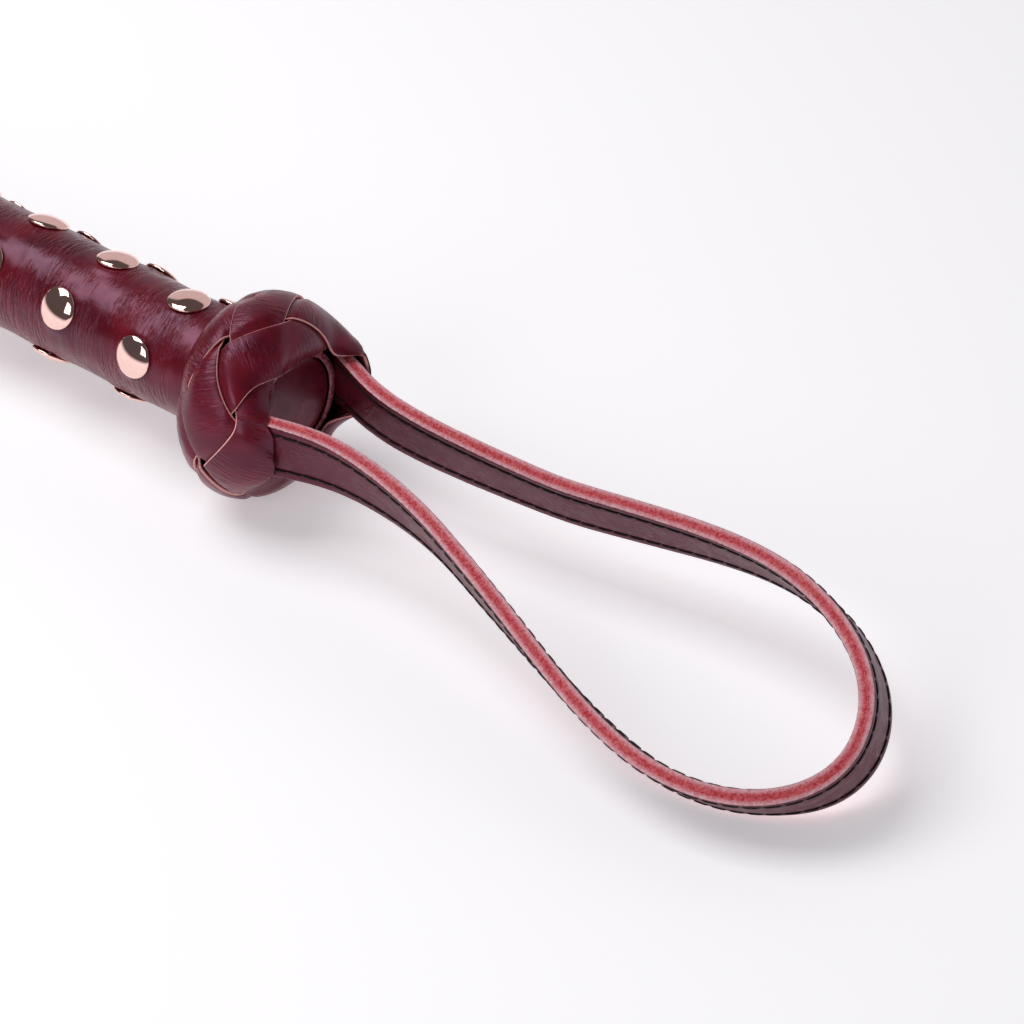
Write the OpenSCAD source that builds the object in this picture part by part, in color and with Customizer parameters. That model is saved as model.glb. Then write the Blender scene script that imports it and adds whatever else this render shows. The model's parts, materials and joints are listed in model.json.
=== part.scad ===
// Riding crop: studded leather grip, woven knots, tapered shaft, keeper and sewn wrist loop.
// X runs along the shaft towards the keeper, Z is up, and the origin is the centre of the
// grip's butt end. The wrist loop lies on the -X side. Millimetres.

/* [Grip] */
// Length of the leather grip sleeve
grip_length = 200; // [190:1:210]
// Outside radius of the grip sleeve
grip_r = 12.5; // [12.3:0.1:12.5]
// Thickness of the grip leather
grip_leather = 1.6; // [1.2:0.1:2]

/* [Rivets] */
// Number of rivets in each of the grip's rows
rivets_in_row = 7; // [3:1:7]
// Step along the grip from one rivet of a row to the next
rivet_step = 22; // [20:0.5:22]
// Turn round the grip from one rivet of a row to the next, in degrees
rivet_turn = 10; // [4:1:12]
// Radius of a rivet cap
cap_r = 4.5; // [3.5:0.1:5]
// Height of a rivet cap
cap_h = 1.9; // [1.5:0.1:2.2]

/* [Knots] */
// Outside radius of both knots
knot_r = 21.2; // [20.5:0.1:21.6]
// Half the length of a knot along the shaft
knot_half = 10; // [9.5:0.1:10.5]
// Thickness of the woven lace, two layers
lace = 2.5; // [2:0.1:2.8]

/* [Shaft] */
// Position of the shaft sleeve's far end
shaft_end = 588; // [560:1:600]
// Outside radius of the shaft sleeve where a clip holds it
shaft_r = 6.1; // [5.8:0.1:6.2]
// Outside radius of the shaft sleeve at its far end
shaft_tip_r = 3.7; // [3.5:0.1:3.8]
// Radius of the core rod inside the grip
rod_r = 4.5; // [4.2:0.1:4.6]
// Radius of the core rod at its tip
rod_tip_r = 2.2; // [2:0.1:2.3]

/* [Keeper] */
// Width of the keeper
keeper_width = 36; // [28:1:44]
// Length of the keeper past its hinge line
keeper_length = 92; // [80:1:110]
// Thickness of one keeper ply
keeper_ply = 1.8; // [1.5:0.1:2]

/* [Wrist loop] */
// Width of the strap
strap_width = 13.2; // [12:0.1:13.2]
// Thickness of one strap ply
strap_ply = 1.6; // [1.4:0.1:1.6]
// Distance of a stitch row from the strap's edge
stitch_inset = 2; // [1.6:0.1:2.6]
// Position of the line about which the loop swings
loop_hinge_x = -12; // [-12:0.1:-11.8]

/* [Hidden] */
$fn = 64;
gap = 0.05;
wine = [0.36, 0.08, 0.12];
raw_edge = [0.80, 0.45, 0.48];
rose_gold = [0.93, 0.74, 0.66];
thread_black = [0.08, 0.06, 0.07];

// Grip
core_r = grip_r - grip_leather - gap;
core_start = 4;
rod_start = 30;
// First rivet of each row: its position along the grip, and its tilt away from straight up
RIVET_ROWS = [[24.2, 52], [29.5, 6], [33.4, -70], [39.6, -150], [42.7, 131]];
post_r = 1.5;
post_depth = 6.5;
cap_seat = grip_r + gap;
cap_rim = 0.4;

// Knots
butt_knot_x = 9.5;
front_knot_x = grip_length - 0.5;
knot_base_r = grip_r + gap;
knot_steps = 10;
front_nose = 11;
front_mouth_r = shaft_r + gap;

// Shaft
washer_t = 4;
washer_x = grip_length - washer_t;
shaft_start = grip_length + gap;
taper_start = 240;
rod_end = shaft_end + 2;
seam_r = 0.4;
plug_end = shaft_end + 4;
wrap_start = shaft_end - 43;
wrap_end = shaft_end + 5;
wrap_bore_r = 4.1;
wrap_r = 5.9;
binding_r = 0.55;
binding_turns = 8;

// Keeper
keeper_x = shaft_end + 9;
keeper_back = 1.5;
keeper_neck = 14;
keeper_flare = 30;
keeper_corner = 9;
keeper_inset = 3;
keeper_rivet_x = [keeper_x + 14, keeper_x + 24, keeper_x + 34];

// Strap. Each point of the route is x, y, z of the strap's middle line, and the roll of its
// width away from the vertical in degrees. The route is a uniform cubic B-spline.
root_y = 14.3;
root_flare = 1.2;
ROUTE = [
    [30, root_y, 0, 0], [15, root_y, 0, 0], [0, root_y + root_flare, 0, 0], [-17, 8.7, 1, 10],
    [-42, 11, -1, 22], [-56, 15, -4, 22], [-72, 20, -7, 24], [-114, 33, -16, 42],
    [-139, 22, -15, 44], [-145, 6, -11, 0], [-137, -9, -3, -32], [-111, -21, 0, -38],
    [-80, -18, -3, -26], [-61, -14, -4, -24], [-51, -13, -4, -22], [-14, -8.7, -2, -12],
    [0, -root_y - root_flare, 0, 0], [15, -root_y, 0, 0], [30, -root_y, 0, 0]
];
// Stretches of the route, counted in B-spline spans. Each moving end of the loop is a round
// knuckle that faces a square tail held by the knot.
NEAR_TAIL = [0.05, 1.2];
NEAR_KNUCKLE = [1.32, 1.68];
FREE_LOOP = [1.9, 14.1];
FAR_KNUCKLE = [14.26, 14.6];
FAR_TAIL = [14.75, 15.95];
tail_steps = 10;
knuckle_steps = 6;
free_steps = 92;
knuckle_r = strap_width / 2 - gap;
// How far the tails bulge outwards between their ends and the grip's butt end
tail_bulge = 0.5;
// Slots through the knot that hold the tails
slot_start = 10;
slot_depth = grip_r + 2 * strap_ply + 1.4;
slot_half_height = strap_width / 2 + 0.7;
slot_end = 15.2;
thread_w = 0.55;
thread_h = 0.35;
thread_gap = 0.12;
tack_r = 0.7;
tack_head_r = 1.4;
tack_head_h = 0.4;
tack_start = 7;
TACK_X = [7, 12];

function bspline(a, b, c, d, u) =
    (a * pow(1 - u, 3) + b * (3 * pow(u, 3) - 6 * u * u + 4)
    + c * (1 + 3 * u + 3 * u * u - 3 * pow(u, 3)) + d * pow(u, 3)) / 6;
function slope(a, b, c, d, u) =
    (-a * pow(1 - u, 2) + b * (3 * u * u - 4 * u) + c * (1 + 2 * u - 3 * u * u) + d * u * u) / 2;
function span(g) = min(floor(g), len(ROUTE) - 4);
function on_route(g) = let(i = span(g))
    bspline(ROUTE[i], ROUTE[i + 1], ROUTE[i + 2], ROUTE[i + 3], g - i);
function heading(g) = let(i = span(g))
    slope(ROUTE[i], ROUTE[i + 1], ROUTE[i + 2], ROUTE[i + 3], g - i);
function xyz(p) = [p[0], p[1], p[2]];
function unit(v) = v / norm(v);
// Direction across the strap from its upper edge to its lower edge.
function across(g) = let(
        t = unit(xyz(heading(g))),
        down = unit([0, 0, -1] + t[2] * t),
        side = cross(t, down),
        roll = on_route(g)[3])
    down * cos(roll) + side * sin(roll);
// Direction out of the strap's outer face.
function outward(g) = cross(across(g), unit(xyz(heading(g))));
// Half width of the moving strap, which ends in a round knuckle about the hinge line.
function half_width(x) =
    x > loop_hinge_x ? sqrt(max(1, pow(knuckle_r, 2) - pow(x - loop_hinge_x, 2)))
    : strap_width / 2;
function places(stretch, steps) =
    [for (i = [0:steps]) stretch[0] + (stretch[1] - stretch[0]) * i / steps];

// Closed bar through the given places of the route: out0 and out1 are its faces' distances
// along the outward direction, and mid and half give its edges across the strap. A half of 0
// takes the moving strap's own half width.
module bar(along, out0, out1, mid = 0, half = 0) {
    n = len(along);
    pts = [for (g = along) let(
            c = xyz(on_route(g)),
            o = outward(g),
            d = across(g),
            h = half > 0 ? half : half_width(c[0]))
        each [c + o * out0 + d * (mid - h), c + o * out1 + d * (mid - h),
              c + o * out1 + d * (mid + h), c + o * out0 + d * (mid + h)]];
    // Both faces are split along the same diagonal, so that bars stacked on each other stay apart
    sides = [for (i = [0:n - 2], k = [0:3]) let(
            a = 4 * i + k,
            b = 4 * i + (k + 1) % 4)
        each k < 2 ? [[a, b, b + 4], [a, b + 4, a + 4]] : [[a, b, a + 4], [b, b + 4, a + 4]]];
    last = 4 * n - 4;
    ends = [[0, 2, 1], [0, 3, 2], [last, last + 1, last + 2], [last, last + 2, last + 3]];
    polyhedron(points = pts, faces = concat(sides, ends), convexity = 8);
}

// Solid of revolution about the X axis. Its outline's points are [radius, x].
module lathe(outline) {
    rotate([0, 90, 0])
        rotate_extrude()
            polygon(outline);
}

// Runs its children at each rivet's place, with Z pointing away from the grip's axis.
module each_rivet() {
    for (row = RIVET_ROWS, k = [0:rivets_in_row - 1])
        translate([row[0] + rivet_step * k, 0, 0])
            rotate([row[1] + rivet_turn * k, 0, 0])
                children();
}

module rivet_cap() {
    dome = cap_h - cap_rim;
    steps = 6;
    rotate_extrude()
        polygon(concat([[0, 0], [cap_r, 0]],
            [for (i = [0:steps]) let(t = 90 * i / steps)
                [cap_r * cos(t), cap_rim + dome * sin(t)]]));
}

module core_rod() {
    color(raw_edge)
        lathe([[0, rod_start], [rod_r, rod_start], [rod_r, taper_start], [rod_tip_r, rod_end],
               [0, rod_end]]);
}

module handle_core() {
    color("burlywood")
        difference() {
            translate([core_start, 0, 0])
                rotate([0, 90, 0])
                    cylinder(r = core_r, h = washer_x - gap - core_start);
            translate([rod_start - gap, 0, 0])
                rotate([0, 90, 0])
                    cylinder(r = rod_r + gap, h = grip_length);
            each_rivet()
                translate([0, 0, post_depth - gap])
                    cylinder(r = post_r + gap, h = grip_r, $fn = 24);
            each_tack()
                cylinder(r = tack_r + gap, h = grip_r, $fn = 24);
        }
}

module grip_sleeve() {
    color(wine)
        difference() {
            rotate([0, 90, 0])
                cylinder(r = grip_r, h = grip_length);
            translate([-1, 0, 0])
                rotate([0, 90, 0])
                    cylinder(r = grip_r - grip_leather, h = grip_length + 2);
            each_rivet()
                cylinder(r = post_r + gap, h = grip_r + 1, $fn = 24);
            each_tack()
                cylinder(r = tack_r + gap, h = grip_r + 1, $fn = 24);
        }
}

module rivet_caps() {
    color(rose_gold)
        each_rivet()
            translate([0, 0, cap_seat])
                rivet_cap();
}

module rivet_posts() {
    color(rose_gold)
        each_rivet()
            translate([0, 0, post_depth])
                cylinder(r = post_r, h = cap_seat - post_depth, $fn = 24);
}

module butt_plug() {
    r = grip_r - grip_leather - gap;
    color(wine)
        lathe([[0, core_start - gap], [r, core_start - gap], [r, 1.5], [r - 0.3, 0.9],
               [r - 1, 0.5], [r - 3, 0.2], [0, 0]]);
}

// Outline of a knot: the ellipse's half lengths are a along X and b across, from angle 0 on its
// butt side to angle 180 on its shaft side.
function arch(x, base, a, b, from, to) =
    [for (i = [0:knot_steps]) let(t = from + (to - from) * i / knot_steps)
        [base + b * sin(t), x - a * cos(t)]];

module strap_slots() {
    for (side = [-1, 1])
        translate([-knot_half, side > 0 ? slot_start : -slot_depth, -slot_half_height])
            cube([slot_end + knot_half, slot_depth - slot_start, 2 * slot_half_height]);
}

module butt_knot_ring() {
    a = knot_half - lace * 0.6;
    b = knot_r - knot_base_r - lace - gap;
    color("tan")
        difference() {
            lathe(arch(butt_knot_x, knot_base_r, a, b, 0, 180));
            strap_slots();
        }
}

module butt_knot_lace() {
    a = knot_half - lace * 0.6 + gap;
    b = knot_r - knot_base_r - lace;
    outer = arch(butt_knot_x, knot_base_r, knot_half, knot_r - knot_base_r, 0, 180);
    inner = arch(butt_knot_x, knot_base_r, a, b, 180, 0);
    color(wine)
        difference() {
            lathe(concat(outer, inner));
            strap_slots();
        }
}

module front_washer() {
    color(wine)
        translate([washer_x, 0, 0])
            rotate([0, 90, 0])
                difference() {
                    cylinder(r = core_r, h = washer_t);
                    translate([0, 0, -1])
                        cylinder(r = rod_r + gap, h = washer_t + 2);
                }
}

// Outline of the front knot from its grip side over the top to the shaft, inset by the given
// thickness.
function front_arch(t) = concat(
    arch(front_knot_x, knot_base_r, knot_half - 0.6 * t, knot_r - knot_base_r - t, 0, 90),
    arch(front_knot_x, front_mouth_r, front_nose - 0.6 * t, knot_r - front_mouth_r - t, 95, 180));

module front_knot_ring() {
    step_x = grip_length + gap;
    color("tan")
        lathe(concat(front_arch(lace + gap), [[front_mouth_r, step_x], [knot_base_r, step_x]]));
}

module front_knot_lace() {
    outer = front_arch(0);
    inner = front_arch(lace);
    color(wine)
        lathe(concat(outer, [for (i = [len(inner) - 1:-1:0]) inner[i]]));
}

module shaft_sleeve() {
    color(wine)
        lathe([[rod_r + gap, shaft_start], [shaft_r, shaft_start], [shaft_r, taper_start],
               [shaft_tip_r, shaft_end], [rod_tip_r + 0.1, shaft_end], [rod_r + gap, taper_start]]);
}

// Straight thread along the underside of the tapered sleeve.
module shaft_seam_thread() {
    margin = 2;
    drop = (shaft_r - shaft_tip_r) / (shaft_end - taper_start);
    run = wrap_start - taper_start - 2 * margin;
    color(thread_black)
        translate([taper_start + margin, 0, drop * margin - shaft_r - seam_r - gap])
            rotate([0, 90 - atan(drop), 0])
                cylinder(r = seam_r, h = run, $fn = 16);
}

module tip_plug() {
    color(thread_black)
        lathe([[rod_tip_r + 0.1, shaft_end + gap], [shaft_tip_r, shaft_end + gap],
               [shaft_tip_r, plug_end - 1], [shaft_tip_r - 1, plug_end], [0, plug_end],
               [0, rod_end + gap], [rod_tip_r + 0.1, rod_end + gap]]);
}

module keeper_wrap() {
    color(wine)
        translate([wrap_start, 0, 0])
            rotate([0, 90, 0])
                difference() {
                    cylinder(r = wrap_r, h = wrap_end - wrap_start);
                    translate([0, 0, -1])
                        cylinder(r = wrap_bore_r, h = wrap_end - wrap_start + 2);
                }
}

module keeper_binding() {
    color(thread_black)
        for (k = [0:binding_turns - 1])
            translate([wrap_start + 4 + k * (2 * binding_r + gap), 0, 0])
                rotate([0, 90, 0])
                    rotate_extrude()
                        translate([wrap_r + binding_r + gap, 0])
                            circle(r = binding_r, $fn = 16);
}

// Runs its children at each strap tack, with Z pointing sideways away from the grip's axis.
module each_tack() {
    for (side = [-1, 1], x = TACK_X)
        translate([x, 0, 0])
            rotate([-90 * side, 0, 0])
                translate([0, 0, tack_start])
                    children();
}

module strap_tails(out0, out1) {
    difference() {
        for (tail = [NEAR_TAIL, FAR_TAIL])
            bar(places(tail, tail_steps), out0, out1, 0, strap_width / 2);
        each_tack()
            cylinder(r = tack_r + gap, h = 12, $fn = 24);
    }
}

module strap_tails_outer() {
    color(wine)
        strap_tails(gap / 2, strap_ply);
}

module strap_tails_inner() {
    color(wine)
        strap_tails(-strap_ply, -gap / 2);
}

module strap_tacks() {
    reach = root_y + tail_bulge + strap_ply + gap - tack_start;
    color("silver")
        each_tack() {
            cylinder(r = tack_r, h = reach, $fn = 24);
            translate([0, 0, reach])
                cylinder(r = tack_head_r, h = tack_head_h, $fn = 24);
        }
}

module loop_ply(out0, out1) {
    bar(concat(places(NEAR_KNUCKLE, knuckle_steps), places(FREE_LOOP, free_steps),
        places(FAR_KNUCKLE, knuckle_steps)), out0, out1);
}

module loop_outer_ply() {
    color(wine)
        loop_ply(gap / 2, strap_ply);
}

module loop_inner_ply() {
    color(raw_edge)
        loop_ply(-strap_ply, -gap / 2);
}

module stitch_rows(out0, out1) {
    for (row = [-1, 1])
        bar(places(FREE_LOOP, free_steps), out0, out1,
            row * (strap_width / 2 - stitch_inset), thread_w / 2);
}

module loop_outer_thread() {
    color(thread_black)
        stitch_rows(strap_ply + thread_gap, strap_ply + thread_gap + thread_h);
}

module loop_inner_thread() {
    color(thread_black)
        stitch_rows(-strap_ply - thread_gap - thread_h, -strap_ply - thread_gap);
}

// Keeper outline: a narrow neck that flares into a tongue with two round corners.
function keeper_outline(inset) = let(
        h = keeper_width / 2 - inset,
        n = keeper_neck / 2 - inset,
        x0 = keeper_x - keeper_back + inset,
        x1 = keeper_x + 8,
        x2 = keeper_x + keeper_flare,
        x3 = keeper_x + keeper_length - inset,
        r = keeper_corner - inset,
        steps = 8,
        flare = [for (i = [0:steps]) let(s = i / steps)
            [x1 + (x2 - x1) * s, n + (h - n) * s * s * (3 - 2 * s)]],
        corner = [for (i = [0:steps]) let(t = 90 * i / steps)
            [x3 - r + r * sin(t), h - r + r * cos(t)]],
        half = concat([[x0, n]], flare, corner))
    concat(half, [for (i = [len(half) - 1:-1:0]) [half[i][0], -half[i][1]]]);

module keeper_leather(bottom) {
    color(wine)
        difference() {
            translate([0, 0, bottom])
                linear_extrude(height = keeper_ply)
                    polygon(keeper_outline(0));
            for (x = keeper_rivet_x)
                translate([x, 0, -10])
                    cylinder(r = post_r + gap, h = 20);
        }
}

module keeper_top_ply() {
    keeper_leather(gap / 2);
}

module keeper_bottom_ply() {
    keeper_leather(-gap / 2 - keeper_ply);
}

module keeper_thread() {
    face = keeper_ply + gap;
    color(thread_black)
        for (z = [face, -face - thread_h])
            translate([0, 0, z])
                linear_extrude(height = thread_h)
                    difference() {
                        polygon(keeper_outline(keeper_inset));
                        polygon(keeper_outline(keeper_inset + thread_w));
                    }
}

module keeper_rivets() {
    face = keeper_ply + gap;
    color(rose_gold)
        for (x = keeper_rivet_x)
            translate([x, 0, 0]) {
                translate([0, 0, -face])
                    cylinder(r = post_r, h = 2 * face);
                translate([0, 0, face])
                    rivet_cap();
                mirror([0, 0, 1])
                    translate([0, 0, face])
                        rivet_cap();
            }
}

core_rod();
handle_core();
grip_sleeve();
rivet_caps();
rivet_posts();
butt_plug();
butt_knot_ring();
butt_knot_lace();
front_washer();
front_knot_ring();
front_knot_lace();
shaft_sleeve();
shaft_seam_thread();
tip_plug();
keeper_wrap();
keeper_binding();
strap_tails_outer();
strap_tails_inner();
strap_tacks();
loop_outer_ply();
loop_inner_ply();
loop_outer_thread();
loop_inner_thread();
keeper_top_ply();
keeper_bottom_ply();
keeper_thread();
keeper_rivets();
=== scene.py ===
import json
import math

import bpy
import numpy as np
from mathutils import Matrix, Vector, noise


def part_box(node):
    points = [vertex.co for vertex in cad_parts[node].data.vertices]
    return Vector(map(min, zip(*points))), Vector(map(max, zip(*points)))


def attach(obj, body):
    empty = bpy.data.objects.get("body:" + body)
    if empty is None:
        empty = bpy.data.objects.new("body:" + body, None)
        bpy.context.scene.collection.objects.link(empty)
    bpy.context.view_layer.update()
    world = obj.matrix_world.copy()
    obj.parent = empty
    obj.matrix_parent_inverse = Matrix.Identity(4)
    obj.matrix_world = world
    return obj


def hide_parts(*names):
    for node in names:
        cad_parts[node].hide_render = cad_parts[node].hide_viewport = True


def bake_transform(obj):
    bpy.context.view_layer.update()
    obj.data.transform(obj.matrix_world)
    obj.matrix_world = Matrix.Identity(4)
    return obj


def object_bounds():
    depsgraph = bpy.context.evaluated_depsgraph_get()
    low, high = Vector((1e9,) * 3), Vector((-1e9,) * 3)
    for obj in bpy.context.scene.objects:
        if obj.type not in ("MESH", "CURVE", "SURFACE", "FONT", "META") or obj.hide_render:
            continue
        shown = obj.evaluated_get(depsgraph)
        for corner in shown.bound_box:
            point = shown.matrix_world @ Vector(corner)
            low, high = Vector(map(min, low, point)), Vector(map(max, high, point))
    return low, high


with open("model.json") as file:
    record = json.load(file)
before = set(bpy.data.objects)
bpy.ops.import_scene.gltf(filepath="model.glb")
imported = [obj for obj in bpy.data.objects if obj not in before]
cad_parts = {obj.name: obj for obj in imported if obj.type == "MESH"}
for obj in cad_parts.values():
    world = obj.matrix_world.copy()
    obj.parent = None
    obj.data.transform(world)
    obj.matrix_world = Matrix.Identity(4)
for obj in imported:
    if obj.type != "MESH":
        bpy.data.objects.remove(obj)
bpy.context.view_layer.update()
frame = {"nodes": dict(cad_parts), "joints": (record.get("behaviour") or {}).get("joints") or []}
scene = bpy.context.scene

# Sizes in this script are millimetres and angles are degrees, unless a comment says otherwise.
# An angle round the crop's axis starts at +Y and turns towards +Z.
MM = 0.001


def box_mm(node):
    lo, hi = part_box(node)
    return np.array(lo) / MM, np.array(hi) / MM


# ---------------------------------------------------------------- sizes read from the frame
GRIP_HI = box_mm("grip_sleeve")[1]
GRIP_R = GRIP_HI[2]
GRIP_LENGTH = GRIP_HI[0]
GRIP_LEATHER = 1.6
KNOT_LO, KNOT_HI = box_mm("butt_knot_lace")
KNOT_R = KNOT_HI[2]
KNOT_X = (KNOT_LO[0] + KNOT_HI[0]) / 2
KNOT_HALF = (KNOT_HI[0] - KNOT_LO[0]) / 2
FRONT_LO, FRONT_HI = box_mm("front_knot_lace")
FRONT_X = FRONT_LO[0] + KNOT_HALF
SHAFT_LO, SHAFT_HI = box_mm("shaft_sleeve")
SHAFT_R = SHAFT_HI[2]
WRAP_LO, WRAP_HI = box_mm("keeper_wrap")
KEEPER_HI = box_mm("keeper_top_ply")[1]
LOOP_PIVOT = np.array(frame["joints"][0]["pos_m"]) / MM
KEEPER_PIVOT = np.array(frame["joints"][1]["pos_m"]) / MM

SHAFT_TIP_R = 3.7
TAPER_START = 240
KEEPER_HALF = KEEPER_HI[1]
KEEPER_PLY = KEEPER_HI[2] - 0.025
KEEPER_NECK = 7.0
KEEPER_CORNER = 9.0
KEEPER_STITCH_INSET = 3.0
KEEPER_RIVET_STEPS = (14, 24, 34)

# First rivet of each row: its x and its angle. The rest of the row follows by step and turn.
RIVET_ROWS = [(24.2, 142), (29.5, 96), (33.4, 20), (39.6, -60), (42.7, 221)]
RIVETS_IN_ROW = 7
RIVET_STEP = 22
RIVET_TURN = 10
CAP_R = 4.5
CAP_RISE = 0.95

STRAP_HALF = 6.6
STRAP_PLY = 1.6
STITCH_INSET = 2.0
STITCH_PITCH = 3.5
STRAP_THREAD_R = 0.28
SEAM_THREAD_R = 0.22

# The strap's route: x, y, z of its middle line and the roll of its width, for each control
# point of a uniform cubic B-spline.
ROUTE = np.array([
    [30, 14.3, 0, 0], [15, 14.3, 0, 0], [0, 15.5, 0, 0], [-17, 8.7, 1, 10],
    [-42, 11, -1, 22], [-56, 15, -4, 22], [-72, 20, -7, 24], [-114, 33, -16, 42],
    [-139, 22, -15, 44], [-145, 6, -11, 0], [-137, -9, -3, -32], [-111, -21, 0, -38],
    [-80, -18, -3, -26], [-61, -14, -4, -24], [-51, -13, -4, -22], [-14, -8.7, -2, -12],
    [0, -15.5, 0, 0], [15, -14.3, 0, 0], [30, -14.3, 0, 0]], float)
ROUTE_START = 0.05
ROUTE_END = 15.95


# ---------------------------------------------------------------- mesh tools
def mesh_object(name, points, faces, material, sharp=40, lay=None):
    """A mesh from points in mm. The attribute "rest" keeps each point's place at rest in mm, and
    "lay" its place on the leather or thread that it belongs to."""
    points = np.asarray(points, float)
    mesh = bpy.data.meshes.new(name)
    mesh.from_pydata((points * MM).tolist(), [], faces)
    mesh.update()
    for label, values in (("rest", points), ("lay", points if lay is None else lay)):
        attribute = mesh.attributes.new(label, "FLOAT_VECTOR", "POINT")
        attribute.data.foreach_set("vector", np.asarray(values, np.float32).ravel())
    mesh.polygons.foreach_set("use_smooth", np.ones(len(mesh.polygons), bool))
    mesh.set_sharp_from_angle(angle=math.radians(sharp))
    mesh.materials.append(material)
    obj = bpy.data.objects.new(name, mesh)
    scene.collection.objects.link(obj)
    return obj


def skin_faces(rings, size, start=0, looped=False, caps=True):
    """Quads between rings of size points each. looped joins the last ring to the first, and caps
    closes both ends of a skin that isn't looped."""
    faces = []
    for i in range(rings if looped else rings - 1):
        j = (i + 1) % rings
        for k in range(size):
            n = (k + 1) % size
            faces.append((start + i * size + k, start + i * size + n,
                          start + j * size + n, start + j * size + k))
    if caps and not looped:
        faces.append(tuple(start + k for k in range(size - 1, -1, -1)))
        faces.append(tuple(start + (rings - 1) * size + k for k in range(size)))
    return faces


def lathe(profile, turns=96):
    """Points and faces of a surface of revolution about X. profile lists (x, radius)."""
    angles = np.linspace(0, 2 * np.pi, turns, endpoint=False)
    points = np.array([[x, r * math.cos(a), r * math.sin(a)] for x, r in profile for a in angles])
    return points, skin_faces(len(profile), turns)


def around(angle):
    """Unit vector at that angle in degrees round the crop's axis."""
    a = math.radians(angle)
    return np.array([0, math.cos(a), math.sin(a)])


def smooth(t):
    t = np.clip(t, 0, 1)
    return t * t * (3 - 2 * t)


def thread_run(paths, ups, radius):
    """Points and faces of many short tubes, one for each path, with round ends."""
    points, faces = [], []
    sides = 8
    for path, up in zip(paths, ups):
        start = len(points)
        rings = len(path)
        for i, p in enumerate(path):
            ahead = path[min(i + 1, rings - 1)] - path[max(i - 1, 0)]
            ahead = ahead / np.linalg.norm(ahead)
            side = np.cross(ahead, up)
            side = side / np.linalg.norm(side)
            lift = np.cross(side, ahead)
            s = 2 * i / (rings - 1) - 1
            r = radius * math.sqrt(max(0.12, 1 - abs(s) ** 5))
            for k in range(sides):
                a = 2 * math.pi * k / sides
                points.append(p + r * (math.cos(a) * side + math.sin(a) * lift))
        faces += skin_faces(rings, sides, start)
    return np.array(points), faces


# ---------------------------------------------------------------- node tools
def rgb(r, g, b):
    """Linear colour from an sRGB colour of 0 to 255."""
    def linear(c):
        c = c / 255
        return c / 12.92 if c <= 0.04045 else ((c + 0.055) / 1.055) ** 2.4
    return (linear(r), linear(g), linear(b), 1)


class Graph:
    """A node tree. Most methods add nodes and return an output socket."""

    def __init__(self, tree):
        self.tree = tree

    def feed(self, socket, value):
        """Links another node's output to the socket, or sets a plain value on it."""
        if isinstance(value, bpy.types.NodeSocket):
            self.tree.links.new(value, socket)
        else:
            socket.default_value = value

    def node(self, kind, inputs=(), **properties):
        made = self.tree.nodes.new("ShaderNode" + kind)
        for label, value in properties.items():
            setattr(made, label, value)
        for label, value in dict(inputs).items():
            self.feed(made.inputs[label], value)
        return made

    def attribute(self, label, scale=(1, 1, 1), turn=(0, 0, 0)):
        read = self.node("Attribute", attribute_name=label)
        return self.node("Mapping", {"Vector": read.outputs["Vector"], "Scale": scale,
                                     "Rotation": turn}).outputs[0]

    def object_mm(self, scale=(1, 1, 1)):
        read = self.node("TexCoord")
        size = tuple(s / MM for s in scale)
        return self.node("Mapping", {"Vector": read.outputs["Object"], "Scale": size}).outputs[0]

    def noise(self, vector, scale, detail=3.0, rough=0.5, distort=0.0):
        return self.node("TexNoise", {"Vector": vector, "Scale": scale, "Detail": detail,
                                      "Roughness": rough, "Distortion": distort}).outputs["Fac"]

    def cells(self, vector, scale, feature="F1"):
        return self.node("TexVoronoi", {"Vector": vector, "Scale": scale},
                         feature=feature).outputs["Distance"]

    def ramp(self, value, low, high, to_low=0.0, to_high=1.0):
        return self.node("MapRange", {"Value": value, "From Min": low, "From Max": high,
                                      "To Min": to_low, "To Max": to_high}).outputs["Result"]

    def math(self, operation, a, b=0.0):
        made = self.node("Math", operation=operation)
        for socket, value in zip(made.inputs, (a, b)):
            self.feed(socket, value)
        return made.outputs[0]

    def mix(self, factor, a, b):
        made = self.node("Mix", data_type="RGBA")
        for label, kind, value in (("Factor", "VALUE", factor), ("A", "RGBA", a), ("B", "RGBA", b)):
            socket = next(s for s in made.inputs if s.name == label and s.type == kind)
            self.feed(socket, value)
        return next(s for s in made.outputs if s.type == "RGBA")

    def bump(self, height, strength, distance, normal=None):
        inputs = {"Height": height, "Strength": strength, "Distance": distance}
        if normal is not None:
            inputs["Normal"] = normal
        return self.node("Bump", inputs).outputs["Normal"]


class Shader(Graph):
    """The nodes of one material."""

    def __init__(self, name, **values):
        self.material = bpy.data.materials.new(name)
        self.material.use_nodes = True
        super().__init__(self.material.node_tree)
        self.surface = self.tree.nodes["Principled BSDF"]
        for label, value in values.items():
            self.surface.inputs[label.replace("_", " ")].default_value = value

    def drive(self, label, socket):
        self.tree.links.new(socket, self.surface.inputs[label])


# ---------------------------------------------------------------- materials
WINE_DARK = rgb(80, 9, 20)
WINE_RED = rgb(112, 17, 30)
WINE_PURPLE = rgb(86, 22, 42)
RAW_PALE = rgb(255, 218, 224)
RAW_RED = rgb(250, 150, 162)


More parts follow.
